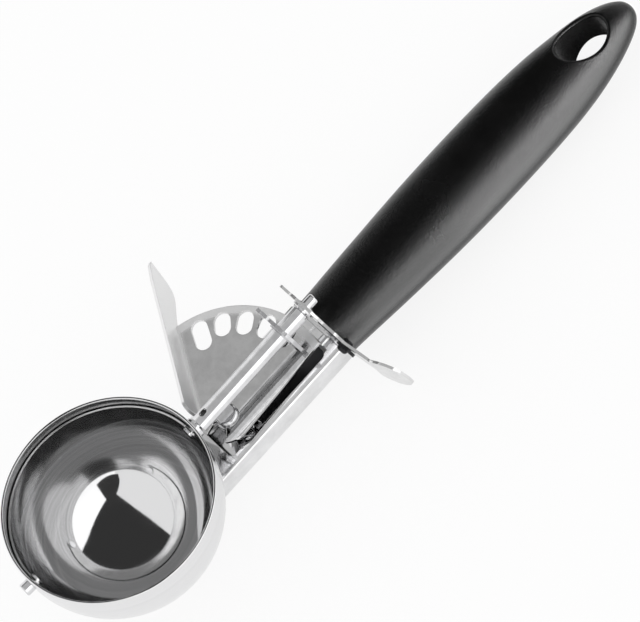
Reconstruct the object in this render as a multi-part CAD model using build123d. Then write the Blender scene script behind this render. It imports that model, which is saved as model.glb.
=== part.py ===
from build123d import *
from math import asin, atan2, cos, degrees, radians, sin, sqrt
import os

# Lever ice cream scoop, millimetres, +Z up.
# Shank frame: Y runs along the sweep shaft from the bowl to the handle, the shaft's axis is
# x = 0, z = 0, and y = 0 lies where the shaft meets the bowl. The bowl's rim leans by bowl_tilt.
# save() moves everything to the row frame, whose origin is the hanging hole's centre.

# ---- bowl and scraper ----
bowl_outer_r = 28.75
bowl_wall = 0.8
rim_height = 4.6            # straight wall above the sweep axis
bowl_tilt = 8.2             # degrees between the rim's plane and the shaft
band_gap = 0.3
band_thick = 0.5
band_half_width = 4.3
band_end_r = 2.7
band_rest = 6.0             # degrees the resting band lies below the sweep axis' level
shank_r = 0.9
far_pin_r = 1.0
far_stub_r = 1.82
far_stub_length = 2.4
fit = 0.05                  # radial running fit

# ---- shaft ----
shaft_r = 2.45
shaft_start = 1.55
shaft_shoulder = 40.6
journal_r = 1.55
journal_end = 45.6
socket_r = 2.0
socket_depth = 7.4
coupling_y = 4.6            # the two axes cross here
coupling_pin_r = 0.5
coupling_hole_r = 0.8

# ---- lever and pinion ----
pivot_y = 8.0
pinion_thick = 1.0
tooth_count = 8             # full-circle count; only the working teeth are cut
working_teeth = 5
slot_pitch = 14.25          # degrees between slots about the lever's pivot
first_slot = 7.0
slot_half_width = 2.35
slot_length = 6.6
long_slot_length = 8.7
slot_margin = 1.5           # from the slots' outer ends to the sector's edge
plate_top = -7.6
plate_thick = 1.0
sector_r = 30.2
hub_r = 7.6                 # to the bent-up edge; the free side of the hub is a little smaller
free_side_x = 7.1
corner_x = 5.6              # where the free edge meets the outer arc
flange_lean = 25.0          # degrees the bent-up edge leans out from upright
flange_height = 3.8
lever_travel = 50.0

# ---- frame ----
frame_half_width = 10.1
frame_top = -11.0
frame_bottom = -20.9
frame_corner_r = 4.0
frame_bend_r = 1.0          # upper bends
inner_bend_r = 0.3
frame_end = 41.0
sheet = 0.8
opening_half_width = 7.65
opening_start = 0.6
opening_end = 36.9
opening_corner_r = 1.8
tab_start = 37.7            # two tabs folded in at the guard, with a slit between them
tab_end = 40.3
tab_half_width = 5.1
tab_thick = 0.5
slit_half_width = 0.35
relief_x = 9.75             # round notches that relieve the upper bends beside the guard
relief_r = 0.5
end_wall_half = 5.6
end_wall_top = -14.5
saddle_thick = 0.8
saddle_margin = 1.4         # how far the dished plate stands out round the frame

# ---- guard, tang and handle ----
guard_face = 41.6
guard_thick = 0.75
guard_half_width = 11.3
guard_rivet_x = 11.3
guard_rivet_z = -8.9
guard_rivet_r = 1.0
paddle_root = 8.1           # from the guard's side to the paddle
paddle_length = 10.2
bearing_sleeve_r = 2.39
tang_half_width = 4.5
tang_thick = 2.2
tang_start = 12.4
tang_end = 108.0
handle_start = guard_face + guard_thick + 0.02
# stations along the grip: y, height of its middle, radius
grip = [
    (handle_start, -15.2, 9.45),
    (50.0, -15.6, 9.85),
    (58.0, -16.05, 10.35),
    (68.0, -16.6, 10.9),
    (80.0, -17.15, 11.45),
    (94.0, -17.75, 11.77),
    (108.0, -18.3, 11.75),
    (121.0, -18.85, 11.37),
    (131.0, -19.35, 10.6),
    (139.0, -19.65, 9.45),
    (145.0, -19.65, 8.25),
    (150.0, -19.8, 6.78),
    (153.5, -20.1, 5.3),
    (156.0, -20.3, 3.6),
]
grip_tip = 157.7
hole_y = 141.7
hole_half_length = 7.7
hole_half_width = 5.3
hole_z = -12.9

# ---- derived ----
ball_distance = bowl_outer_r + coupling_y
tilt_c, tilt_s = cos(radians(bowl_tilt)), sin(radians(bowl_tilt))
ball = Vector(0, coupling_y - ball_distance * tilt_c, ball_distance * tilt_s)
bowl_inner_r = bowl_outer_r - bowl_wall
band_outer_r = bowl_inner_r - band_gap
band_inner_r = band_outer_r - band_thick
plate_mid = plate_top - plate_thick / 2
slot_outer_r = sector_r - slot_margin
mesh_r = slot_outer_r - slot_length / 2
pinion_y = pivot_y + mesh_r
plate_under = plate_top - plate_thick
end_y = guard_face - 0.2    # the frame's last sheet stops this short of the guard
pinion_pitch_r = mesh_r * slot_pitch * tooth_count / 360
floor_top = frame_bottom + sheet
tang_top = floor_top + tang_thick
tooth_tip_r = pinion_pitch_r + 0.85
pinion_body_r = pinion_pitch_r - 0.8
BOWL = Location(ball) * Location((0, 0, 0), (-bowl_tilt, 0, 0))
ROW = Location((0, -hole_y, -hole_z))
BASE = (Align.CENTER, Align.CENTER, Align.MIN)

os.makedirs("parts", exist_ok=True)


def save(node, part):
    export_step(part.moved(ROW), f"parts/{node}.step")


def rod(r, y0, y1, x=0.0, z=0.0):
    """A round rod along Y."""
    return Location((x, y0, z), (-90, 0, 0)) * Cylinder(r, y1 - y0, align=BASE)


def post(r, z0, z1, x=0.0, y=0.0):
    """A round rod along Z."""
    return Location((x, y, z0)) * Cylinder(r, z1 - z0, align=BASE)


def block(x0, x1, y0, y1, z0, z1):
    return Location(((x0 + x1) / 2, (y0 + y1) / 2, (z0 + z1) / 2)) * Box(x1 - x0, y1 - y0, z1 - z0)


def bowl_space(gap):
    """All that lies inside the bowl's outside surface, grown by the gap."""
    return Sphere(bowl_outer_r + gap) + post(bowl_outer_r + gap, 0, rim_height + 2)


# ---------------------------------------------------------------- bowl
def make_bowl():
    """Half sphere with a short straight wall, a rounded rim and two pivot holes."""
    inner, outer = bowl_inner_r, bowl_outer_r
    mid = (inner + outer) / 2
    shoulder = rim_height - bowl_wall / 2
    with BuildPart() as bowl:
        with BuildSketch(Plane.XZ):
            with BuildLine():
                Line((0, -outer), (0, -inner))
                RadiusArc((0, -inner), (inner, 0), -inner)
                Line((inner, 0), (inner, shoulder))
                ThreePointArc((inner, shoulder), (mid, rim_height), (outer, shoulder))
                Line((outer, shoulder), (outer, 0))
                RadiusArc((outer, 0), (0, -outer), outer)
            make_face()
        revolve(axis=Axis.Z)
    part = bowl.part
    part -= rod(bush_r, inner - 2, outer + 2)
    part -= rod(far_pin_r + 0.01, -outer - 2, -inner + 2)
    return BOWL * part


# ---------------------------------------------------------------- scraper
bush_r = 2.1


def band_outline():
    """Side view of the band, seen along X: wide in the middle, rounded at both pivots."""
    reach = band_outer_r + 1
    w, e = band_half_width, band_end_r
    with BuildSketch(Plane.YZ) as sk:
        with BuildLine():
            ThreePointArc((-reach, e * 0.75), (0, w), (reach, e * 0.75))
            Line((reach, e * 0.75), (reach, -e * 0.75))
            ThreePointArc((reach, -e * 0.75), (0, -w), (-reach, -e * 0.75))
            Line((-reach, -e * 0.75), (-reach, e * 0.75))
        make_face()
    return extrude(sk.sketch, amount=-(band_outer_r + 1))


def make_wiper_band():
    """A thin half ring cut from a sphere, with a round eye at each pivot."""
    shell = Sphere(band_outer_r) - Sphere(band_inner_r)
    eyes = rod(band_end_r, -band_outer_r - 1, band_outer_r + 1)
    part = shell & (band_outline() + eyes)
    part -= rod(shank_r, 0, band_outer_r + 1)
    part -= rod(far_pin_r + fit, -band_outer_r - 1, 0)
    return BOWL * (Location((0, 0, 0), (0, -band_rest, 0)) * part)


def make_wiper_shank():
    """Headed rod riveted to the band's near eye; it passes the bush and carries the cross pin."""
    head = rod(1.9, band_inner_r - 0.75, band_inner_r - 0.07)
    stem = rod(shank_r, band_inner_r - 0.4, ball_distance + 1.3)
    part = head + stem
    part -= post(coupling_pin_r, -3, 3, y=ball_distance)
    return BOWL * (Location((0, 0, 0), (0, -band_rest, 0)) * part)


def make_coupling_pin():
    """Cross pin through the shank; its ends drive the shaft's walls."""
    half = shaft_r - 0.15
    pin = post(coupling_pin_r, -half, half, y=ball_distance)
    return BOWL * (Location((0, 0, 0), (0, -band_rest, 0)) * pin)


def make_far_pivot_pin():
    """Stub outside the far wall, stem through it, head inside the band's far eye."""
    stub = rod(far_stub_r, -bowl_outer_r - far_stub_length, -bowl_outer_r + 0.1)
    stub = chamfer(stub.edges().group_by(Axis.Y)[0], 0.25)
    stub -= bowl_space(0.01)
    stem = rod(far_pin_r, -bowl_outer_r - 0.3, -band_inner_r + 0.3)
    head = rod(1.9, -band_inner_r + 0.12, -band_inner_r + 0.8)
    head = fillet(head.edges().group_by(Axis.Y)[-1], 0.3)
    return BOWL * (stub + stem + head)


def make_near_bush():
    """Flanged bush in the near wall, bored for the shank."""
    flange = rod(2.9, bowl_outer_r - 0.2, bowl_outer_r + 0.75)
    flange -= bowl_space(0.01)
    sleeve = rod(bush_r - 0.01, bowl_inner_r, bowl_outer_r + 0.4)
    bore = rod(shank_r + fit, bowl_inner_r - 1, bowl_outer_r + 2)
    return BOWL * (flange + sleeve - bore)


# ---------------------------------------------------------------- shaft and pinion
def make_sweep_shaft():
    """Shaft with a socket and two slotted holes at the bowl's end, and a journal at the guard."""
    body = rod(shaft_r, shaft_start, shaft_shoulder)
    body = chamfer(body.edges().filter_by(GeomType.CIRCLE).group_by(Axis.Y)[-1], 0.3)
    journal = rod(journal_r, shaft_shoulder - 1, journal_end)
    journal = fillet(journal.edges().filter_by(GeomType.CIRCLE).group_by(Axis.Y)[-1], 0.7)
    part = body + journal
    part -= rod(socket_r, shaft_start - 1, socket_depth)
    reach = (coupling_pin_r + shaft_r * tilt_s + 0.3) - coupling_hole_r
    slot = SlotCenterToCenter(2 * reach, 2 * coupling_hole_r, rotation=90)
    hole = Location((0, coupling_y, 0)) * extrude(slot, 4, both=True)
    return part - Location((0, 0, 0), (0, -band_rest, 0)) * hole


def tooth(angle):
    """One round-flanked tooth; the angle is counted from straight down towards -X."""
    half_root, half_tip = 2.05, 1.15
    r0, r1 = pinion_body_r - 0.6, tooth_tip_r
    with BuildSketch(Plane.XZ) as sk:
        with BuildLine():
            Line((-half_root, -r0), (half_root, -r0))
            ThreePointArc((half_root, -r0), (1.82, -pinion_pitch_r), (half_tip, -r1))
            ThreePointArc((half_tip, -r1), (0, -r1 - 0.12), (-half_tip, -r1))
            ThreePointArc((-half_tip, -r1), (-1.82, -pinion_pitch_r), (-half_root, -r0))
        make_face()
    solid = extrude(sk.sketch, amount=pinion_thick / 2, both=True)
    return Location((0, 0, 0), (0, angle, 0)) * solid


def make_pinion():
    """Thin disc square to the shaft: eight-to-the-circle teeth, cut only where they work."""
    first = first_slot * 360 / tooth_count / slot_pitch
    disc = rod(pinion_body_r, -pinion_thick / 2, pinion_thick / 2)
    for i in range(working_teeth):
        disc += tooth(first + i * 360 / tooth_count)
    disc += rod(shaft_r + 1.1, -pinion_thick / 2 - 0.5, 0)
    disc -= rod(shaft_r, -3, 3)
    return Location((0, pinion_y, 0)) * disc


# ---------------------------------------------------------------- lever
def slot_cutter(index):
    """A round-ended slot, its length along the radius from the pivot."""
    length = long_slot_length if index == working_teeth - 1 else slot_length
    middle = slot_outer_r - length / 2
    sk = Location((0, middle)) * SlotOverall(length, 2 * slot_half_width, rotation=90)
    cutter = extrude(sk, plate_thick * 2, both=True)
    angle = first_slot + index * slot_pitch
    return Location((0, pivot_y, plate_mid), (0, 0, angle)) * cutter


def lever_outline():
    """Sector outline: hub, the bent edge, the outer arc and the free edge."""
    right = (corner_x, pivot_y + sqrt(sector_r**2 - corner_x**2))
    left_dir = (-0.874, 0.486)
    foot = (-hub_r * 0.486, pivot_y - hub_r * 0.874)
    reach = sqrt(sector_r**2 - hub_r**2)
    left = (foot[0] + left_dir[0] * reach, foot[1] + left_dir[1] * reach)
    top_angle = (degrees(atan2(-left[0], left[1] - pivot_y)) - degrees(asin(corner_x / sector_r))) / 2
    top = (-sector_r * sin(radians(top_angle)), pivot_y + sector_r * cos(radians(top_angle)))
    low = (2.4, pivot_y - hub_r * 0.93)
    side = (free_side_x, pivot_y)
    with BuildSketch() as sk:
        with BuildLine():
            ThreePointArc(foot, low, side)
            Line(side, right)
            ThreePointArc(right, top, left)
            Line(left, foot)
        make_face()
    return sk.sketch, foot, left_dir, reach


def spring_notch():
    """Notch from the hub's edge to the pivot that leaves the spring's coils in view."""
    with BuildSketch() as sk:
        with BuildLine():
            Polyline(
                (-0.2, -1.0), (-1.6, 4.4), (-1.0, 5.5), (1.2, 5.9), (2.6, 5.2), (4.9, 2.9), (5.2, -1.0),
                close=True,
            )
        make_face()
        fillet(sk.vertices().group_by(Axis.Y)[1:-1][-1], 0.3)
    return Location((0, 0, plate_mid)) * extrude(sk.sketch, plate_thick * 2, both=True)


def make_lever_plate():
    """Slotted sector with a bent-up edge that runs out into the thumb tab."""
    outline, foot, left_dir, reach = lever_outline()
    plate = Location((0, 0, plate_under)) * extrude(outline, plate_thick)
    for i in range(working_teeth):
        plate -= slot_cutter(i)
    plate -= spring_notch()
    through = (plate_under - 1, plate_top + 1)
    plate -= post(rivet_stem_r + fit, *through, y=pivot_y)
    plate -= post(spring_hook_r, *through, x=spring_hook[0], y=spring_hook[1])
    # plane of the bent-up edge: x along the edge, y up the leaning face
    lean = radians(flange_lean)
    along = Vector(left_dir[0], left_dir[1], 0)
    out = Vector(-0.486, -0.874, 0)
    up = out * sin(lean) + Vector(0, 0, cos(lean))
    low = plate_top - plate_thick * (1 - sin(lean) / 2)
    base = Plane(origin=Vector(foot[0], foot[1], low), x_dir=along, z_dir=along.cross(up))
    h = flange_height + plate_thick
    r = reach
    with BuildSketch(base) as sk:
        with BuildLine():
            Line((3.0, 0), (r - 1.2, 0))
            Spline((r - 1.2, 0), (r + 4.0, -0.7), (r + 10.5, -1.5), (r + 15.8, 1.2), (r + 19.4, h - 1.1))
            Line((r + 19.4, h - 1.1), (r + 18.2, h - 0.4))
            Line((r + 18.2, h - 0.4), (r + 14.0, h))
            Line((r + 14.0, h), (6.5, h))
            ThreePointArc((6.5, h), (4.2, h * 0.72), (3.0, 0))
        make_face()
    flange = extrude(sk.sketch, amount=plate_thick / 2, both=True)
    return plate + flange


spring_hook = (-5.2, pivot_y + 4.4)
spring_hook_r = 0.75
spring_wire_r = 0.4
collar_top = -15.2
rivet_stem_r = 1.5


# ---------------------------------------------------------------- lever pivot
def make_pivot_rivet():
    """Rivet through lever, washer, spacer and floor, headed at both ends."""
    stem = post(rivet_stem_r, frame_bottom - 0.3, plate_top + 0.4, y=pivot_y)
    head = post(3.1, plate_top + 0.12, plate_top + 1.2, y=pivot_y)
    head = fillet(head.edges().group_by(Axis.Z)[-1], 0.75)
    foot = post(2.6, frame_bottom - 0.95, frame_bottom - 0.02, y=pivot_y)
    foot = fillet(foot.edges().group_by(Axis.Z)[0], 0.5)
    return stem + head + foot


def make_pivot_washer():
    bore = post(rivet_stem_r + 0.06, frame_bottom, 0, y=pivot_y)
    return post(3.5, plate_under - 0.62, plate_under - 0.12, y=pivot_y) - bore


def make_pivot_spacer():
    """Sleeve from the floor to the washer, with a collar that the spring's coil sits on."""
    sleeve = post(2.4, floor_top + 0.02, plate_under - 0.64, y=pivot_y)
    collar = post(4.2, collar_top - 0.8, collar_top, y=pivot_y)
    return sleeve + collar - post(rivet_stem_r + 0.06, frame_bottom, 0, y=pivot_y)


def make_return_spring():
    """Torsion coil round the spacer: one leg on the frame's wall, the other hooked in the lever."""
    wire, coil_r, pitch, turns = spring_wire_r, 3.5, 0.98, 4.6
    z0 = collar_top + wire + 0.05
    height = pitch * turns
    helix = Location((0, pivot_y, z0)) * Helix(pitch, height, coil_r)
    start, end = helix @ 0, helix @ 1
    hook_top = plate_top - 0.35
    hx, hy = spring_hook
    with BuildLine() as path:
        add(helix)
    coil = sweep(Plane(origin=start, z_dir=helix % 0) * Circle(wire), path=path.line, is_frenet=True)
    leg_end = Vector(frame_half_width - sheet - wire - 0.1, start.Y + 4.2, z0)
    leg = leg_between(Vector(start.X, start.Y, z0), leg_end, wire)
    bend = Vector(hx, hy, end.Z)
    arm = leg_between(end, bend, wire)
    riser = leg_between(bend, Vector(hx, hy, hook_top), wire)
    return coil + leg + arm + riser + ball_at(bend, wire) + ball_at(end, wire) + ball_at(start, wire)


def leg_between(a, b, r):
    d = b - a
    return Plane(origin=a, z_dir=d.normalized()) * Cylinder(r, d.length, align=BASE)


def ball_at(p, r):
    return Location(p) * Sphere(r)


# ---------------------------------------------------------------- frame
def frame_section(half, top, bottom, corner, bend):
    """Box section across the shank, with round lower corners and tight upper bends."""
    height = top - bottom
    sk = Location((0, bottom + height / 2)) * Rectangle(2 * half, height)
    sk = fillet(sk.vertices().group_by(Axis.Y)[0], corner)
    return fillet(sk.vertices().group_by(Axis.Y)[-1], bend)


def along_shank(sk, y0, y1):
    """Stand a section up across the shank and draw it out along Y."""
    return Plane(origin=(0, y0, 0), x_dir=(1, 0, 0), z_dir=(0, -1, 0)) * extrude(sk, -(y1 - y0))


def make_frame_channel():
    """Pressed box with a long opening on top, dished at the bowl, with folded tabs at the guard."""
    outside = frame_section(frame_half_width, frame_top, frame_bottom, frame_corner_r, frame_bend_r)
    inside = frame_section(
        frame_half_width - sheet, frame_top - sheet, floor_top, frame_corner_r - sheet, inner_bend_r,
    )
    part = along_shank(outside, -16, frame_end) - along_shank(inside, -20, frame_end + 5)
    length = opening_end - opening_start
    opening = RectangleRounded(2 * opening_half_width, length, opening_corner_r)
    part -= Location((0, opening_start + length / 2, frame_top)) * extrude(opening, 2 * sheet, both=True)
    part += frame_tabs()
    for x in (-relief_x, relief_x):
        part -= post(relief_r, frame_top - 2 * sheet, frame_top + 1, x=x, y=frame_end - 0.6)
    # floor and end wall reach on to the guard, between the handle's sides
    part += block(-end_wall_half, end_wall_half, frame_end - 1, end_y, frame_bottom, floor_top)
    part += block(-end_wall_half, end_wall_half, frame_end - 0.3, end_y, frame_bottom, end_wall_top)
    part -= block(
        -tang_half_width - 0.05, tang_half_width + 0.05, frame_end - 1, end_y + 1, floor_top, tang_top + 0.05,
    )
    part -= bowl_cutter(saddle_thick + 0.03)
    part -= post(rivet_stem_r, frame_bottom - 1, floor_top + 1, y=pivot_y)
    for y in tang_rivet_ys:
        part -= post(tang_rivet_r, frame_bottom - 1, floor_top + 1, x=tang_rivet_x, y=y)
    return part


def frame_tabs():
    """Two tabs folded down on the top from a low upstand beside the guard, with a slit between them."""
    tabs = block(-tab_half_width, tab_half_width, tab_start, tab_end, frame_top - 0.1, frame_top + tab_thick)
    tabs = chamfer(tabs.edges().group_by(Axis.Z)[-1], 0.15)
    tabs -= block(-slit_half_width, slit_half_width, tab_start - 1, tab_end + 1, frame_top, frame_top + 1)
    top = frame_top + 0.3
    upstand = block(-opening_half_width, opening_half_width, frame_end - 0.1, end_y, frame_top - sheet, top)
    return tabs + upstand


def bowl_cutter(gap):
    return Location(ball) * Sphere(bowl_outer_r + gap)


tang_rivet_x = -2.0
tang_rivet_ys = (18.0, 31.0)
tang_rivet_r = 1.0


def make_bowl_saddle():
    """Dished plate on the bowl's outside that the frame's end is joined to."""
    shell = bowl_cutter(saddle_thick) - bowl_cutter(0.01)
    height = frame_top - frame_bottom
    width = 2 * (frame_half_width + saddle_margin)
    patch = RectangleRounded(width, height + 2 * saddle_margin, frame_corner_r)
    patch = Location((0, frame_top - height / 2)) * patch
    return shell & along_shank(patch, ball.Y, opening_start + 3)


def make_tang():
    """Flat bar riveted to the frame's floor that carries the handle."""
    bar = block(-tang_half_width, tang_half_width, tang_start, tang_end, floor_top + 0.01, tang_top)
    bar = fillet(bar.edges().filter_by(Axis.Z), 2.0)
    for y in tang_rivet_ys:
        bar -= post(tang_rivet_r, frame_bottom, 0, x=tang_rivet_x, y=y)
    return bar


def make_tang_rivets():
    rivets = []
    for y in tang_rivet_ys:
        x = tang_rivet_x
        head = post(1.7, tang_top + 0.01, tang_top + 1.0, x, y)
        head = fillet(head.edges().group_by(Axis.Z)[-1], 0.6)
        foot = post(1.9, frame_bottom - 0.9, frame_bottom - 0.01, x, y)
        foot = fillet(foot.edges().group_by(Axis.Z)[0], 0.5)
        rivets.append(head + post(0.99, frame_bottom - 0.5, tang_top + 0.5, x, y) + foot)
    return Compound(children=rivets)


# ---------------------------------------------------------------- guard
def guard_path_sheet():
    """The guard's sheet in plan: straight across the handle, then bent back twice."""
    bends = [
        (-guard_half_width - 6.2, guard_face), (guard_half_width + 0.5, guard_face),
        (guard_half_width + paddle_root + 1, guard_face + 0.9),
        (guard_half_width + paddle_root + paddle_length + 0.8, guard_face + 4.7),
    ]
    with BuildSketch() as sk:
        with BuildLine():
            Polyline(*bends)
            offset(amount=guard_thick, side=Side.LEFT, closed=True)
        make_face()
    return Location((0, 0, -30)) * extrude(sk.sketch, 40)


def guard_outline():
    """Front view of the guard: body under the shaft's bearing, arm and finger paddle."""
    arm = Location((10.0, -10.4)) * Rectangle(20.4, 8.4)
    body = Location((0, -9.2)) * RectangleRounded(2 * guard_half_width, 16.0, 1.6)
    bearing = Location((0, -3.0)) * RectangleRounded(13.0, 14.4, 5.6)
    neck = Location((0, grip[0][1])) * Circle(grip[0][2] + 0.4)
    x = guard_half_width + paddle_root
    tip = x + paddle_length
    with BuildSketch() as paddle:
        with BuildLine():
            Spline(
                (x, -8.0), (x + 3.0, -6.6), (tip - 2.4, -7.2), (tip, -12.2), (tip - 1.0, -17.4),
                (x + 5.0, -20.2), (x + 1.2, -18.2), (x, -13.4),
            )
            Line((x, -13.4), (x, -8.0))
        make_face()
    return arm + body + bearing + neck + paddle.sketch


def make_guard_plate():
    through = (guard_face - guard_thick, guard_face + 2 * guard_thick)
    part = guard_path_sheet() & along_shank(guard_outline(), guard_face - 6, guard_face + 12)
    part -= rod(bearing_sleeve_r + 0.01, *through)
    part -= block(
        -tang_half_width - 0.05, tang_half_width + 0.05, *through, floor_top - 0.04, tang_top + 0.05,
    )
    return part - rod(guard_rivet_r, *through, x=guard_rivet_x, z=guard_rivet_z)


def make_guard_rivet():
    """Dark rivet with a long flange on the guard's front and a domed head on the flange."""
    x, z = guard_rivet_x, guard_rivet_z
    front = guard_face - 0.9
    back = guard_face + guard_thick + 0.2
    flange = RectangleRounded(5.6, 4.8, 2.0)
    part = Location((12.0, 0, z)) * along_shank(flange, front, guard_face - 0.01)
    head = rod(1.6, front - 1.0, front + 0.2, x=x, z=z)
    part += fillet(head.edges().group_by(Axis.Y)[0], 0.95)
    foot = rod(1.6, back, back + 0.8, x=x, z=z)
    part += fillet(foot.edges().group_by(Axis.Y)[-1], 0.4)
    return part + rod(guard_rivet_r - 0.01, front, back + 0.4, x=x, z=z)


def make_rear_bearing():
    """Flanged bush for the shaft's journal."""
    flange = rod(3.2, guard_face - 0.62, guard_face - 0.01)
    sleeve = rod(bearing_sleeve_r, guard_face - 0.3, guard_face + guard_thick + 0.25)
    return flange + sleeve - rod(journal_r + fit, guard_face - 1, guard_face + 2)


# ---------------------------------------------------------------- handle
def make_handle():
    """Round moulded grip lofted through its stations, with the hanging hole and the tang's pocket."""
    sections = []
    for y, z, r in grip:
        sections.append(Plane(origin=(0, y, z), x_dir=(1, 0, 0), z_dir=(0, 1, 0)) * Circle(r))
    body = loft(sections)
    last_y, last_z, last_r = grip[-1]
    cap_h = grip_tip - last_y
    cap_r = (last_r**2 + cap_h**2) / (2 * cap_h)
    cap = Location((0, last_y + cap_h - cap_r, last_z)) * Sphere(cap_r)
    cap &= rod(last_r, last_y, grip_tip + 1, z=last_z)
    body += cap
    oval = Ellipse(hole_half_width, hole_half_length)
    body -= Location((0, hole_y, -21)) * extrude(oval, 20, both=True)
    mouths = body.edges().filter_by(lambda e: is_hole_mouth(e))
    body = fillet(mouths, 0.7)
    return body - make_tang_pocket()


def is_hole_mouth(edge):
    """Edges where the hanging hole leaves the grip's surface."""
    middle = edge @ 0.5
    inside = abs(middle.Y - hole_y) < hole_half_length + 0.5 and abs(middle.X) < hole_half_width + 0.5
    return inside and edge.geom_type != GeomType.LINE


def make_tang_pocket():
    gap = 0.02
    half = tang_half_width + gap
    return block(-half, half, tang_start, tang_end + gap, floor_top - gap, tang_top + gap)


save("bowl", make_bowl())
save("far_pivot_pin", make_far_pivot_pin())
save("wiper_band", make_wiper_band())
save("wiper_shank", make_wiper_shank())
save("coupling_pin", make_coupling_pin())
save("near_bush", make_near_bush())
save("sweep_shaft", make_sweep_shaft())
save("pinion", make_pinion())
save("lever_plate", make_lever_plate())
save("pivot_rivet", make_pivot_rivet())
save("pivot_washer", make_pivot_washer())
save("pivot_spacer", make_pivot_spacer())
save("return_spring", make_return_spring())
save("frame_channel", make_frame_channel())
save("bowl_saddle", make_bowl_saddle())
save("tang", make_tang())
save("tang_rivets", make_tang_rivets())
save("guard_plate", make_guard_plate())
save("guard_rivet", make_guard_rivet())
save("rear_bearing", make_rear_bearing())
save("handle", make_handle())
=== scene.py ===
import bpy
import bmesh
import math
from mathutils import Matrix, Vector


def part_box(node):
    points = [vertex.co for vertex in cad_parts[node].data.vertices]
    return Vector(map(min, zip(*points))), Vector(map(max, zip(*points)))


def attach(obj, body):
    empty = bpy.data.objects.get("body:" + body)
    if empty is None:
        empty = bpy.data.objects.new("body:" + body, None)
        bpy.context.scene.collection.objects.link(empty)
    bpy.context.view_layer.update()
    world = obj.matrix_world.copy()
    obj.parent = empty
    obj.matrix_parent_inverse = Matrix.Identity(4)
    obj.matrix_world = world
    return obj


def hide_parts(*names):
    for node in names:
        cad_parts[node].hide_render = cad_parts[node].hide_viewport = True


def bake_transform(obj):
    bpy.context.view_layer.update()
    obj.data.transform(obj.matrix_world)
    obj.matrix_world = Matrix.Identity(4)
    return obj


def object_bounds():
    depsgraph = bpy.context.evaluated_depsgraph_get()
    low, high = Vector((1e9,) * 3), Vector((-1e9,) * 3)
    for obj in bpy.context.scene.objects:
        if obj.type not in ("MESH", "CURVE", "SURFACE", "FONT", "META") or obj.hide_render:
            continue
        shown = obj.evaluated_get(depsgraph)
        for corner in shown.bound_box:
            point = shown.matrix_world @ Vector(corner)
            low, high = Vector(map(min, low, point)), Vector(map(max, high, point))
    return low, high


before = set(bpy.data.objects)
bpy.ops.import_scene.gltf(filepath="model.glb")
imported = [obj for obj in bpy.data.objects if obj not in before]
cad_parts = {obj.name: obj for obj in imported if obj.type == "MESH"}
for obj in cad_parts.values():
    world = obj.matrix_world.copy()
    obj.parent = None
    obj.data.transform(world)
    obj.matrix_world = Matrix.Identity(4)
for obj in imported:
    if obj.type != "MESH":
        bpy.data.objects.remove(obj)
cad_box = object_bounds()

# ---- bowl ----
# The cup of the scoop, spun from one disc of stainless steel and mirror polished inside and out.
# Its short upright wall ends in a rounded rim, and two pivots for the scraper go through it.
MM = 0.001
bowl_low, bowl_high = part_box("bowl")
bowl_radius = (bowl_high.x - bowl_low.x) / 2
bowl_wall = 0.8 * MM
rim_height = 4.6 * MM
bowl_tilt = math.radians(8.2)
coupling_reach = 4.6 * MM
shaft_origin = Vector((0, -141.7 * MM, 12.9 * MM))
bowl_centre = shaft_origin + Vector((
    0,
    coupling_reach - (bowl_radius + coupling_reach) * math.cos(bowl_tilt),
    (bowl_radius + coupling_reach) * math.sin(bowl_tilt),
))
bowl_frame = Matrix.Translation(bowl_centre) @ Matrix.Rotation(-bowl_tilt, 4, "X")
cup_steps = 48
rim_steps = 12
turn_steps = 192
steel_colour = (0.72, 0.72, 0.725, 1)
# The outside's lighter steel colour is a painted highlight for the brighter light on the outer
# wall.
painted_bright_outside_colour = (0.81, 0.81, 0.815, 1)
outside_starts = bowl_radius - 0.3 * MM
outside_ends = bowl_radius - 0.2 * MM
brushed_foot, brushed_top = -0.66 * bowl_radius, -0.3 * bowl_radius
streaked_foot, streaked_top = -0.74 * bowl_radius, -0.5 * bowl_radius
ring_low, ring_high = 0.3, 0.7


def add_node(tree, kind, **settings):
    """A node with its settings: in_KEY sets an input's value, from_KEY links an output to it."""
    made = tree.nodes.new(kind)
    for name, value in settings.items():
        way, _, key = name.partition("_")
        key = int(key) if key.isdigit() else key
        if way == "in":
            made.inputs[key].default_value = value
        elif way == "from":
            tree.links.new(value, made.inputs[key])
        else:
            setattr(made, name, value)
    return made


def calculate(tree, operation, first, second, **settings):
    """One step of arithmetic on two outputs."""
    return add_node(
        tree, "ShaderNodeMath", operation=operation, from_0=first, from_1=second, **settings
    ).outputs[0]


def graded(tree, value, low, high, start=0.0, end=1.0, **settings):
    """A value between low and high, spread from start to end and held beyond them."""
    return add_node(
        tree, "ShaderNodeMapRange", from_0=value, in_1=low, in_2=high, in_3=start, in_4=end,
        **settings).outputs[0]


def mixed(tree, share, first, second, **settings):
    """A colour between two others, each of them plain or another node's output."""
    made = add_node(tree, "ShaderNodeMix", data_type="RGBA", from_0=share, **settings)
    for socket, colour in ((made.inputs[6], first), (made.inputs[7], second)):
        if isinstance(colour, tuple):
            socket.default_value = colour
        else:
            tree.links.new(colour, socket)
    return made.outputs[2]


def new_group(name, inputs, outputs):
    """An empty node group with float or vector sockets, and its two ends."""
    kinds = {"f": "NodeSocketFloat", "v": "NodeSocketVector"}
    tree = bpy.data.node_groups.new(name, "ShaderNodeTree")
    for socket, value in inputs.items():
        made = tree.interface.new_socket(socket, in_out="INPUT", socket_type=kinds["f"])
        made.default_value = value
    for socket, kind in outputs.items():
        tree.interface.new_socket(socket, in_out="OUTPUT", socket_type=kinds[kind])
    return tree, tree.nodes.new("NodeGroupInput"), tree.nodes.new("NodeGroupOutput")


def use_group(tree, group, **values):
    made = tree.nodes.new("ShaderNodeGroup")
    made.node_tree = group
    for name, value in values.items():
        made.inputs[name].default_value = value
    return made


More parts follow.
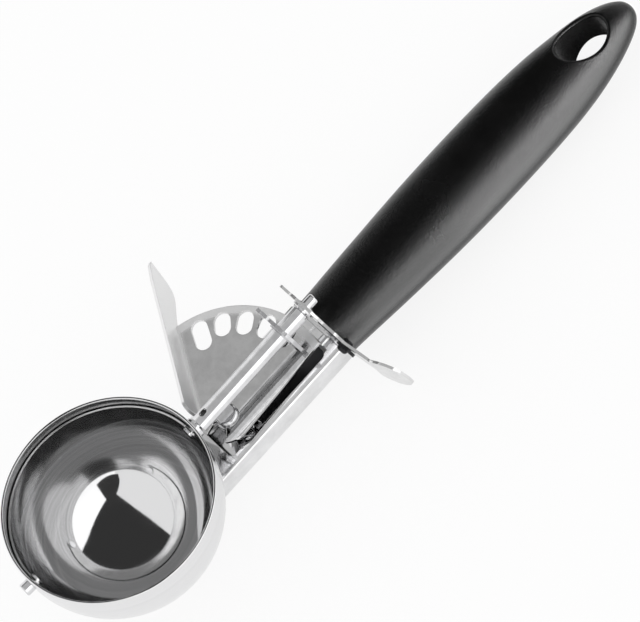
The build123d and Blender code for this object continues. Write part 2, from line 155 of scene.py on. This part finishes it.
def new_finish(name, colour, metallic, roughness):
    """A material, its node tree and its Principled shader."""
    finish = bpy.data.materials.new(name)
    finish.use_nodes = True
    shader = finish.node_tree.nodes["Principled BSDF"]
    shader.inputs["Base Color"].default_value = colour
    shader.inputs["Metallic"].default_value = metallic
    shader.inputs["Roughness"].default_value = roughness
    return finish, finish.node_tree, shader


def coat_with(obj, finish):
    """Give every face of the object this finish."""
    if not obj.material_slots:
        obj.data.materials.append(finish)
    for place in obj.material_slots:
        place.material = finish


# rounded edges with a painted highlight: lighter where two faces meet, from the angle between the
# true and the rounded normal
edge_group, group_in, group_out = new_group(
    "rounded_edge_highlight", {"Width": 0.0002, "Strength": 1.0}, {"Mask": "f", "Normal": "v"})
rounded = add_node(
    edge_group, "ShaderNodeBevel", samples=4, from_Radius=group_in.outputs["Width"])
true_normal = add_node(edge_group, "ShaderNodeNewGeometry")
agreement = add_node(
    edge_group, "ShaderNodeVectorMath", operation="DOT_PRODUCT",
    from_0=rounded.outputs[0], from_1=true_normal.outputs["Normal"])
edge_mask = calculate(
    edge_group, "MULTIPLY", graded(edge_group, agreement.outputs["Value"], 0.995, 0.85),
    group_in.outputs["Strength"], use_clamp=True)
edge_group.links.new(edge_mask, group_out.inputs["Mask"])
edge_group.links.new(rounded.outputs[0], group_out.inputs["Normal"])

# handling marks: soft clouds in the gloss and, fainter, in the tone
smudge_group, group_in, group_out = new_group(
    "handling_marks", {"Low": 0.03, "High": 0.08, "Size": 90.0}, {"Roughness": "f", "Cloud": "f"})
blotch_low, blotch_high = 0.35, 0.7
place = add_node(smudge_group, "ShaderNodeTexCoord")
blotch = add_node(
    smudge_group, "ShaderNodeTexNoise", from_Vector=place.outputs["Object"],
    from_Scale=group_in.outputs["Size"], in_Detail=4.0, in_Roughness=0.6)
spread = add_node(
    smudge_group, "ShaderNodeMapRange", from_0=blotch.outputs[0], in_1=blotch_low, in_2=blotch_high,
    from_3=group_in.outputs["Low"], from_4=group_in.outputs["High"])
cloud = graded(smudge_group, blotch.outputs[0], blotch_low, blotch_high)
smudge_group.links.new(spread.outputs[0], group_out.inputs["Roughness"])
smudge_group.links.new(cloud, group_out.inputs["Cloud"])

# polishing rings: very shallow grooves round the bowl's axis, left by the spinning and buffing
mirror_finish, tree, shader = new_finish("mirror_polished_bowl", steel_colour, 1.0, 0.04)
marks = use_group(tree, smudge_group, Low=0.0, High=0.05, Size=70.0)
place = add_node(tree, "ShaderNodeTexCoord")
centred = add_node(
    tree, "ShaderNodeVectorMath", operation="SUBTRACT", from_0=place.outputs["Object"],
    in_1=tuple(bowl_centre))
from_centre = add_node(
    tree, "ShaderNodeVectorMath", operation="LENGTH", from_0=centred.outputs[0])
outside = graded(tree, from_centre.outputs["Value"], outside_starts, outside_ends)
inside_only = graded(tree, outside, 0.0, 1.0, 1.0, 0.15)
# the outer wall takes the lighter colour: painted highlight
tone = mixed(tree, outside, steel_colour, painted_bright_outside_colour)
upright = add_node(
    tree, "ShaderNodeVectorRotate", rotation_type="X_AXIS", in_Angle=bowl_tilt,
    from_Vector=centred.outputs[0])
height = add_node(tree, "ShaderNodeSeparateXYZ", from_0=upright.outputs[0]).outputs["Z"]
rings = add_node(
    tree, "ShaderNodeTexNoise", noise_dimensions="1D", in_Scale=520.0, in_Detail=2.0,
    in_Roughness=0.6, from_W=height).outputs[0]
brushed = calculate(
    tree, "MULTIPLY", graded(tree, height, brushed_foot, brushed_top, 0.03, 0.17),
    graded(tree, rings, ring_low, ring_high, 0.6, 1.4))
gloss = calculate(tree, "ADD", brushed, marks.outputs["Roughness"])
tree.links.new(gloss, shader.inputs["Roughness"])
streak_share = calculate(
    tree, "MULTIPLY", graded(tree, height, streaked_foot, streaked_top), inside_only)
streaked = mixed(
    tree, streak_share, tone, graded(tree, rings, ring_low, ring_high, 0.76, 1.1),
    blend_type="MULTIPLY")
tree.links.new(streaked, shader.inputs["Base Color"])
grooves = add_node(
    tree, "ShaderNodeBump", in_Strength=0.16, in_Distance=0.00002,
    from_Height=calculate(tree, "MULTIPLY", rings, inside_only))
tree.links.new(grooves.outputs[0], shader.inputs["Normal"])


def finish_mesh(name, mesh_data, sharp_angle=32.0):
    """Turn a bmesh into an object with smooth faces and sharp corners."""
    bmesh.ops.recalc_face_normals(mesh_data, faces=mesh_data.faces)
    mesh = bpy.data.meshes.new(name)
    mesh_data.to_mesh(mesh)
    mesh_data.free()
    mesh.shade_smooth()
    mesh.set_sharp_from_angle(angle=math.radians(sharp_angle))
    made = bpy.data.objects.new(name, mesh)
    bpy.context.scene.collection.objects.link(made)
    return made


def add_arc(work, centre, radius, start, end, steps):
    """Vertices along an arc in the XZ plane; the angles are counted from -Z towards +X."""
    made = []
    for i in range(steps + 1):
        turn = math.radians(start + (end - start) * i / steps)
        spot = Vector((centre[0] + radius * math.sin(turn), 0, centre[1] - radius * math.cos(turn)))
        made.append(work.verts.new(spot))
    return made


work = bmesh.new()
rim_middle = (bowl_radius - bowl_wall / 2, rim_height - bowl_wall / 2)
profile = add_arc(work, (0, 0), bowl_radius, 0, 90, cup_steps)
profile += add_arc(work, rim_middle, bowl_wall / 2, 90, 270, rim_steps)
profile += add_arc(work, (0, 0), bowl_radius - bowl_wall, 90, 0, cup_steps)
edges = [work.edges.new(pair) for pair in zip(profile, profile[1:])]
bmesh.ops.spin(
    work, geom=profile + edges, cent=(0, 0, 0), axis=(0, 0, 1), angle=math.tau, steps=turn_steps,
    use_merge=True)
bmesh.ops.remove_doubles(work, verts=work.verts, dist=1e-6)
bmesh.ops.transform(work, matrix=bowl_frame, verts=work.verts)
bowl = finish_mesh("polished_bowl", work, 60)
coat_with(bowl, mirror_finish)
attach(bowl, "frame")
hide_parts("bowl")

# ---- wiper band ----
# A thin half ring of springy stainless strip that turns on two pivots and sweeps the bowl clean.
# Its faces are burnished by the ice cream and its thin edges shine.
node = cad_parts
# A light steel colour painted along the edges as a highlight.
edge_highlight_colour = (0.85, 0.85, 0.85, 1)
cloud_light, cloud_dark = 1.07, 0.9


def worked_steel(name, colour, gloss, clouds, grain, grain_depth, edge, highlight_strength=1.0):
    """Steel with clouded gloss, fine lines along the given directions and rounded edges with a
    painted highlight.
    """
    finish, tree, shader = new_finish(name, colour, 1.0, gloss[0])
    marks = use_group(tree, smudge_group, Low=gloss[0], High=gloss[1], Size=clouds)
    edges_seen = use_group(tree, edge_group, Width=edge, Strength=highlight_strength)
    place = add_node(tree, "ShaderNodeTexCoord")
    stretched = add_node(
        tree, "ShaderNodeVectorMath", operation="MULTIPLY", from_0=place.outputs["Object"],
        in_1=grain)
    lines = add_node(
        tree, "ShaderNodeTexNoise", in_Scale=1.0, in_Detail=3.0, in_Roughness=0.7,
        from_Vector=stretched.outputs[0])
    bump = add_node(
        tree, "ShaderNodeBump", in_Strength=grain_depth, in_Distance=0.00001,
        from_Height=lines.outputs[0], from_Normal=edges_seen.outputs["Normal"])
    light, dark = (
        tuple(part * share for part in colour[:3]) + (1,) for share in (cloud_light, cloud_dark))
    clouded = mixed(tree, marks.outputs["Cloud"], light, dark)
    # painted highlight: the edges take the lighter colour
    edged = mixed(tree, edges_seen.outputs["Mask"], clouded, edge_highlight_colour)
    tree.links.new(marks.outputs["Roughness"], shader.inputs["Roughness"])
    tree.links.new(bump.outputs[0], shader.inputs["Normal"])
    tree.links.new(edged, shader.inputs["Base Color"])
    return finish


band_finish = worked_steel(
    "burnished_strip", colour=(0.7, 0.7, 0.7, 1), gloss=(0.1, 0.2), clouds=160.0,
    grain=(300.0, 300.0, 2500.0), grain_depth=0.05, edge=0.00012)
coat_with(node["wiper_band"], band_finish)

# ---- scraper pivots ----
# The band's shank runs through a flanged bush in the near wall and is held in the shaft by a cross
# pin. The far end turns on a short headed stub. The shank, bush and stub are bar stock, turned and
# left bright; the cross pin is nearly black, painted shade for the dark hole round its end.
pivot_finish = worked_steel(
    "turned_pivot_steel", colour=(0.7, 0.7, 0.71, 1), gloss=(0.06, 0.14), clouds=320.0,
    grain=(600.0, 6000.0, 600.0), grain_depth=0.06, edge=0.0001)
for name in ("wiper_shank", "far_pivot_pin", "near_bush"):
    coat_with(node[name], pivot_finish)
# nearly black: painted shade for the dark hole round the pin's end
pin_shade_finish = worked_steel(
    "cross_pin_painted_shade", colour=(0.06, 0.06, 0.06, 1), gloss=(0.2, 0.3), clouds=500.0,
    grain=(900.0, 900.0, 900.0), grain_depth=0.05, edge=0.00008, highlight_strength=0.3)
coat_with(node["coupling_pin"], pin_shade_finish)

# ---- sweep shaft ----
# A turned and polished steel bar that turns the scraper. It has a socket for the shank at one end
# and a thin journal for the bearing at the other.
shaft_finish = worked_steel(
    "polished_shaft", colour=(0.74, 0.74, 0.75, 1), gloss=(0.05, 0.12), clouds=240.0,
    grain=(300.0, 9000.0, 300.0), grain_depth=0.05, edge=0.00015)
coat_with(node["sweep_shaft"], shaft_finish)

# ---- pinion ----
# A thin steel disc with square cut teeth, blanked from sheet and pressed on the shaft. The lever's
# slots drive it.
pinion_finish = worked_steel(
    "blanked_pinion", colour=(0.5, 0.5, 0.51, 1), gloss=(0.18, 0.3), clouds=500.0,
    grain=(1500.0, 1500.0, 1500.0), grain_depth=0.12, edge=0.00008, highlight_strength=0.5)
coat_with(node["pinion"], pinion_finish)

# ---- rear bearing ----
# A small flanged steel bush, where the shaft's journal turns. It is turned from bar and swaged
# into the guard.
bearing_finish = worked_steel(
    "swaged_bush", colour=(0.66, 0.66, 0.67, 1), gloss=(0.1, 0.18), clouds=400.0,
    grain=(800.0, 800.0, 800.0), grain_depth=0.05, edge=0.0001)
coat_with(node["rear_bearing"], bearing_finish)

# ---- lever ----
# The thumb lever: a slotted sector of 1 mm stainless sheet with one edge bent up into the thumb
# tab. It is tumbled after blanking, so it is cloudy and satin rather than bright. Along the round
# rim and the bend its colour is lighter, a painted highlight where these faces catch the light,
# and its gloss is duller there.
lever_pivot = shaft_origin + Vector((0, 8.0 * MM, 0))
rim_starts, rim_ends = 27.0 * MM, 28.6 * MM
bend_facing = (-0.486, -0.874, 0.0)
bend_at = 7.4 * MM
bend_width = 1.6 * MM
rim_and_bend_highlight_colour = (0.84, 0.84, 0.84, 1)
rim_and_bend_roughness = 0.34
lever_finish = worked_steel(
    "tumbled_lever_sheet", colour=(0.62, 0.62, 0.62, 1), gloss=(0.03, 0.08), clouds=260.0,
    grain=(900.0, 900.0, 900.0), grain_depth=0.06, edge=0.0002)
tree = lever_finish.node_tree
shader = tree.nodes["Principled BSDF"]
place = add_node(tree, "ShaderNodeTexCoord")
from_pivot = add_node(
    tree, "ShaderNodeVectorMath", operation="SUBTRACT", from_0=place.outputs["Object"],
    in_1=tuple(lever_pivot))
level = add_node(
    tree, "ShaderNodeVectorMath", operation="MULTIPLY", from_0=from_pivot.outputs[0],
    in_1=(1.0, 1.0, 0.0))
reach = add_node(tree, "ShaderNodeVectorMath", operation="LENGTH", from_0=level.outputs[0])
outward = add_node(
    tree, "ShaderNodeVectorMath", operation="DOT_PRODUCT", from_0=from_pivot.outputs[0],
    in_1=bend_facing)
rim = graded(
    tree, reach.outputs["Value"], rim_starts, rim_ends, interpolation_type="SMOOTHSTEP")
bend = graded(
    tree, outward.outputs["Value"], bend_at - bend_width, bend_at, interpolation_type="SMOOTHSTEP")
# painted highlight: lighter colour on the round rim and the bend
rim_and_bend_highlight = calculate(tree, "MAXIMUM", rim, bend)
plain_tone = shader.inputs["Base Color"].links[0].from_socket
plain_gloss = shader.inputs["Roughness"].links[0].from_socket
lighter = mixed(tree, rim_and_bend_highlight, plain_tone, rim_and_bend_highlight_colour)
duller = graded(tree, rim_and_bend_highlight, 0.0, 1.0, 0.0, rim_and_bend_roughness)
tree.links.new(lighter, shader.inputs["Base Color"])
tree.links.new(calculate(tree, "ADD", plain_gloss, duller), shader.inputs["Roughness"])
coat_with(node["lever_plate"], lever_finish)

# ---- lever pivot ----
# A domed steel rivet holds the lever down on a washer and a spacer sleeve. Its head is formed
# cold, so it is smooth but not polished.
rivet_finish = worked_steel(
    "headed_rivet_steel", colour=(0.64, 0.64, 0.65, 1), gloss=(0.08, 0.16), clouds=400.0,
    grain=(900.0, 900.0, 900.0), grain_depth=0.05, edge=0.0001)
for name in ("pivot_rivet", "pivot_washer", "pivot_spacer"):
    coat_with(node[name], rivet_finish)

# ---- return spring ----
# A torsion coil of round spring wire on the sleeve. Its lower leg bears on the frame's wall and its
# upper arm hooks up into the lever, so the coil winds tighter as the thumb pushes.
wire_radius = 0.4 * MM
wire_sides = 16
broken_edge = 0.15 * MM
broken_share = 0.7
coil_radius = 3.5 * MM
coil_height = 4.508 * MM
coil_laps = 5
coil_steps = 190
coil_foot = lever_pivot + Vector((0, 0, -14.75 * MM))
leg_tip = Vector((8.8 * MM, 4.2 * MM, 0))
lever_hook = Vector((-5.2 * MM, 4.4 * MM, coil_height))
hook_rise = 2.29 * MM
hook_bend = 0.8 * MM
bend_steps = 8
up = Vector((0, 0, 1))


def tangent_turn(point, side):
    """Where a straight leg to this point leaves the coil, as an angle round the pivot."""
    reach = math.hypot(point.x, point.y)
    return math.atan2(point.y, point.x) + side * math.acos(coil_radius / reach)


def draw_wire(name, route):
    """A round wire of circles bridged along its route, with both ends closed and broken."""
    work = bmesh.new()
    last = len(route) - 1
    across = (route[1] - route[0]).orthogonal()
    circles = []
    for i, spot in enumerate(route):
        along = (route[min(i + 1, last)] - route[max(i - 1, 0)]).normalized()
        across = (across - along * across.dot(along)).normalized()
        facing = Matrix((across, along.cross(across), along)).transposed().to_4x4()
        corners = bmesh.ops.create_circle(
            work, segments=wire_sides, radius=wire_radius * (broken_share if i in (0, last) else 1),
            matrix=Matrix.Translation(spot) @ facing)["verts"]
        circles.append(list(dict.fromkeys(
            edge for corner in corners for edge in corner.link_edges)))
    for circle, following in zip(circles, circles[1:]):
        bmesh.ops.bridge_loops(work, edges=circle + following)
    bmesh.ops.holes_fill(work, edges=circles[0] + circles[-1], sides=0)
    return finish_mesh(name, work, 50)


first_turn = tangent_turn(leg_tip, -1)
last_turn = tangent_turn(lever_hook, 1) - math.tau * coil_laps
coil = []
for i in range(coil_steps + 1):
    share = i / coil_steps
    turn = first_turn + (last_turn - first_turn) * share
    coil.append(Vector((
        coil_radius * math.cos(turn), coil_radius * math.sin(turn), coil_height * share)))
leg_in = (coil[0] - leg_tip).normalized()
arm_out = (lever_hook - coil[-1]).normalized()
route = [leg_tip, leg_tip + leg_in * broken_edge, leg_tip.lerp(coil[0], 0.5)] + coil
route.append(coil[-1].lerp(lever_hook, 0.5))
for i in range(bend_steps + 1):
    share = i / bend_steps
    route.append(
        lever_hook - arm_out * hook_bend * (1 - share) ** 2 + up * hook_bend * share ** 2)
route += [lever_hook + up * (hook_rise - broken_edge), lever_hook + up * hook_rise]
spring = draw_wire("torsion_spring", [coil_foot + spot for spot in route])
spring_finish = worked_steel(
    "drawn_spring_wire", colour=(0.6, 0.6, 0.61, 1), gloss=(0.1, 0.18), clouds=900.0,
    grain=(2500.0, 2500.0, 2500.0), grain_depth=0.04, edge=0.00005)
coat_with(spring, spring_finish)
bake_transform(spring)
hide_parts("return_spring")

# ---- frame ----
# A pressed box of 0.8 mm stainless sheet with a long opening, polished all over. It is spot welded
# to the bowl by a dished plate.
frame_finish = worked_steel(
    "polished_frame_sheet", colour=(0.79, 0.79, 0.795, 1), gloss=(0.05, 0.09), clouds=120.0,
    grain=(900.0, 40.0, 900.0), grain_depth=0.04, edge=0.0002)
for name in ("frame_channel", "bowl_saddle"):
    coat_with(node[name], frame_finish)

# ---- tang ----
# A flat steel bar which carries the handle. Two rivets hold it to the frame's floor. It is
# coloured nearly black: painted shade for the dark inside of the frame's channel.
tang_painted_shade_finish = worked_steel(
    "tang_bar_painted_shade", colour=(0.07, 0.07, 0.075, 1), gloss=(0.3, 0.45), clouds=150.0,
    grain=(200.0, 60.0, 900.0), grain_depth=0.2, edge=0.0002, highlight_strength=0.0)
coat_with(node["tang"], tang_painted_shade_finish)
coat_with(node["tang_rivets"], rivet_finish)

# ---- guard ----
# The finger guard: a strip of polished stainless sheet across the handle's mouth, bent back into a
# paddle. One nearly black rivet with a flange goes through it.
guard_finish = worked_steel(
    "polished_guard_sheet", colour=(0.74, 0.74, 0.74, 1), gloss=(0.1, 0.18), clouds=200.0,
    grain=(40.0, 900.0, 900.0), grain_depth=0.04, edge=0.00006, highlight_strength=0.0)
coat_with(node["guard_plate"], guard_finish)
black_rivet_finish = worked_steel(
    "nearly_black_rivet", colour=(0.03, 0.03, 0.032, 1), gloss=(0.2, 0.32), clouds=500.0,
    grain=(900.0, 900.0, 900.0), grain_depth=0.1, edge=0.0001, highlight_strength=0.0)
coat_with(node["guard_rivet"], black_rivet_finish)

# ---- handle ----
# The grip, moulded in black plastic round the tang, with an oval hanging hole at its tip. The
# mould gives it a fine satin grain.
handle_black = (0.002, 0.002, 0.002, 1)
handle_bloom = (0.004, 0.004, 0.0041, 1)
handle_finish, tree, shader = new_finish("satin_black_plastic", (0.004, 0.004, 0.004, 1), 0.0, 0.3)
shader.inputs["Specular IOR Level"].default_value = 0.35
place = add_node(tree, "ShaderNodeTexCoord")
grain = add_node(
    tree, "ShaderNodeTexNoise", in_Scale=2400.0, in_Detail=2.0, from_Vector=place.outputs["Object"])
bump = add_node(
    tree, "ShaderNodeBump", in_Strength=1.0, in_Distance=0.00012, from_Height=grain.outputs[0])
marks = use_group(tree, smudge_group, Low=0.22, High=0.28, Size=60.0)
tone = mixed(tree, marks.outputs["Cloud"], handle_black, handle_bloom)
tree.links.new(bump.outputs[0], shader.inputs["Normal"])
tree.links.new(marks.outputs["Roughness"], shader.inputs["Roughness"])
tree.links.new(tone, shader.inputs["Base Color"])
coat_with(node["handle"], handle_finish)

# ---- table ----
# A plain white table top under the scoop. Polished metal shows it as white as the camera does, and
# a little of the scoop's shadow stays on it.
table_half = 3.0
table_drop = 0.0002
camera_lift = 0.85
gloss_lift = 0.6
table_finish, tree, shader = new_finish("white_table", (0.92, 0.92, 0.92, 1), 0.0, 0.6)
seen = add_node(tree, "ShaderNodeLightPath")
for_gloss = add_node(
    tree, "ShaderNodeMath", operation="MULTIPLY", from_0=seen.outputs["Is Glossy Ray"],
    in_1=gloss_lift)
lift = add_node(
    tree, "ShaderNodeMath", operation="MULTIPLY_ADD", from_0=seen.outputs["Is Camera Ray"],
    in_1=camera_lift, from_2=for_gloss.outputs[0])
glow = add_node(tree, "ShaderNodeEmission", in_Strength=1.0)
lifted = add_node(
    tree, "ShaderNodeMixShader", from_0=lift.outputs[0], from_1=shader.outputs[0],
    from_2=glow.outputs[0])
tree.links.new(lifted.outputs[0], tree.nodes["Material Output"].inputs["Surface"])
work = bmesh.new()
bmesh.ops.create_grid(work, x_segments=1, y_segments=1, size=table_half)
bmesh.ops.translate(work, verts=work.verts, vec=(0, 0, cad_box[0][2] - table_drop))
table = finish_mesh("table", work)
coat_with(table, table_finish)

# ---- camera ----
# A long lens on a full-frame body above the bowl's open side, looking down the scoop at a slant.
# It stands about a metre away, so the scoop shows hardly any perspective.
camera_spot = Vector((0.49163, -0.10992, 0.87278))
camera_right = Vector((0.65120, 0.67155, -0.35349))
camera_up = Vector((-0.57814, 0.74073, 0.34217))
camera_back = camera_right.cross(camera_up)
camera_data = bpy.data.cameras.new("camera")
camera_data.lens = 217.55
camera_data.sensor_width = 36.0
camera_data.shift_x = -0.03392
camera_data.shift_y = -0.02018
camera_data.clip_end = 20
camera = bpy.data.objects.new("camera", camera_data)
bpy.context.scene.collection.objects.link(camera)
camera.matrix_world = Matrix.Translation(camera_spot) @ Matrix(
    (camera_right, camera_up, camera_back)).transposed().to_4x4()
bpy.context.scene.camera = camera
bpy.context.scene.view_settings.view_transform = "Standard"

# ---- studio cards ----
# Flat cards that the steel mirrors: a black flag that draws the dark figure in the cup, a softbox
# on the right and a dark wall on the left. Fills light only the shank, strips and bounces only the
# handle, and a small dark flag lies in the hanging hole.
card_across = Vector((0.8707, 0, -0.4917))
flag_outline = [
    (333, -9), (333, -95), (315, -174), (282, -240), (230, -299), (160, -246), (115, -187),
    (85, -131), (64, -80), (-195, -109), (-736, -212), (-1700, -420), (-3800, -820), (-4200, 900),
    (-3600, 2600), (-1400, 3400), (-420, 2900), (-220, 1500), (-65, 758), (8, 497), (55, 312),
    (90, 159), (111, 45)]
softbox_outline = [
    (70, -60), (230, -240), (760, -800), (1150, -800), (1150, 2600), (-320, 2600), (-60, 760),
    (60, 280)]
left_wall_corners = [(-0.9, -0.1, 0), (-0.9, 1.2, 0), (-0.9, 1.2, 1.0), (-0.9, -0.1, 1.0)]
shank_fill_outline = [(300, -700), (300, 700), (-2400, 700), (-2400, -700)]
left_fill_outline = [(-1350, -900), (-1350, 900), (-6000, 1500), (-6000, -1500)]
strip_far_edge, strip_end = 1120, 2600
grip_strips = ((560, -800, 1.8), (520, 110, 1.7), (440, 180, 3.0), (400, 290, 4.0))
bounce_far_edge, bounce_end = 0.8, 0.5
grip_bounces = ((0.02, -0.3, 3.2), (0.03, -0.055, 2.5))
table_top = cad_box[0][2] + 0.3 * MM
hole_across, hole_along = 5.3 * MM, 7.7 * MM
hole_corners = 24


def studio_card(name, corners, strength, receivers=(), deep_strength=None):
    """A flat glowing or dark card; one that lights only its receivers lets every ray through.
    A card with a deep strength shows that instead at a ray's second bounce."""
    made = bmesh.new()
    made.faces.new([made.verts.new(corner) for corner in corners])
    card = finish_mesh(name, made)
    paint, tree, shader = new_finish(name + "_paint", (0, 0, 0, 1), 0.0, 1.0)
    light = add_node(tree, "ShaderNodeEmission", in_Strength=strength)
    end = tree.nodes["Material Output"].inputs["Surface"]
    tree.links.new(light.outputs[0], end)
    if deep_strength:
        path = add_node(tree, "ShaderNodeLightPath")
        twice = add_node(
            tree, "ShaderNodeMath", operation="COMPARE", from_0=path.outputs["Ray Depth"],
            in_1=2.0, in_2=0.1)
        deep = add_node(
            tree, "ShaderNodeMath", operation="MULTIPLY_ADD", from_0=twice.outputs[0],
            in_1=deep_strength - strength, in_2=strength)
        tree.links.new(deep.outputs[0], light.inputs["Strength"])
    if receivers:
        clear = add_node(tree, "ShaderNodeBsdfTransparent")
        both = add_node(
            tree, "ShaderNodeAddShader", from_0=clear.outputs[0], from_1=light.outputs[0])
        tree.links.new(both.outputs[0], end)
        lit = bpy.data.collections.new(name + "_receivers")
        for piece in receivers:
            lit.objects.link(piece)
        card.light_linking.receiver_collection = lit
    coat_with(card, paint)
    card.visible_camera = False
    card.visible_diffuse = False
    card.visible_shadow = False


def before_the_lens(distance, outline):
    """Corners on a plane that faces the lens, in millimetres across and along the scoop."""
    middle = bowl_centre + camera_back * distance
    along = camera_back.cross(card_across)
    return [middle + card_across * x * MM + along * y * MM for x, y in outline]


studio_card("black_flag", before_the_lens(0.6, flag_outline), 0.042, deep_strength=0.31)
studio_card("side_softbox", before_the_lens(0.64, softbox_outline), 1.4)
studio_card("left_wall", left_wall_corners, 0.06)
shank_pieces = [
    piece for name, piece in node.items() if name not in ("bowl", "handle", "wiper_band")]
studio_card("shank_fill", before_the_lens(0.55, shank_fill_outline), 0.5, receivers=shank_pieces)
studio_card("left_fill", before_the_lens(0.55, left_fill_outline), 0.4, receivers=shank_pieces)
for i, (edge, start, glow) in enumerate(grip_strips):
    strip_outline = [
        (edge, start), (strip_far_edge, start), (strip_far_edge, strip_end), (edge, strip_end)]
    studio_card(
        f"grip_strip_{i}", before_the_lens(0.6 + 0.01 * i, strip_outline), glow,
        receivers=[node["handle"]])
for i, (edge, start, glow) in enumerate(grip_bounces):
    above = table_top + i * 0.1 * MM
    bounce_corners = [
        (edge, start, above), (bounce_far_edge, start, above),
        (bounce_far_edge, bounce_end, above), (edge, bounce_end, above)]
    studio_card(f"grip_bounce_{i}", bounce_corners, glow, receivers=[node["handle"]])
hole_turns = [math.tau * k / hole_corners for k in range(hole_corners)]
hole_rim = [
    (hole_across * math.cos(turn), hole_along * math.sin(turn), table_top) for turn in hole_turns]
studio_card("hole_flag", hole_rim, 0.04)

studio_air = bpy.data.worlds.new("studio_air")
studio_air.use_nodes = True
air = studio_air.node_tree.nodes["Background"]
air.inputs["Color"].default_value = (1, 1, 1, 1)
air.inputs["Strength"].default_value = 1.0
bpy.context.scene.world = studio_air
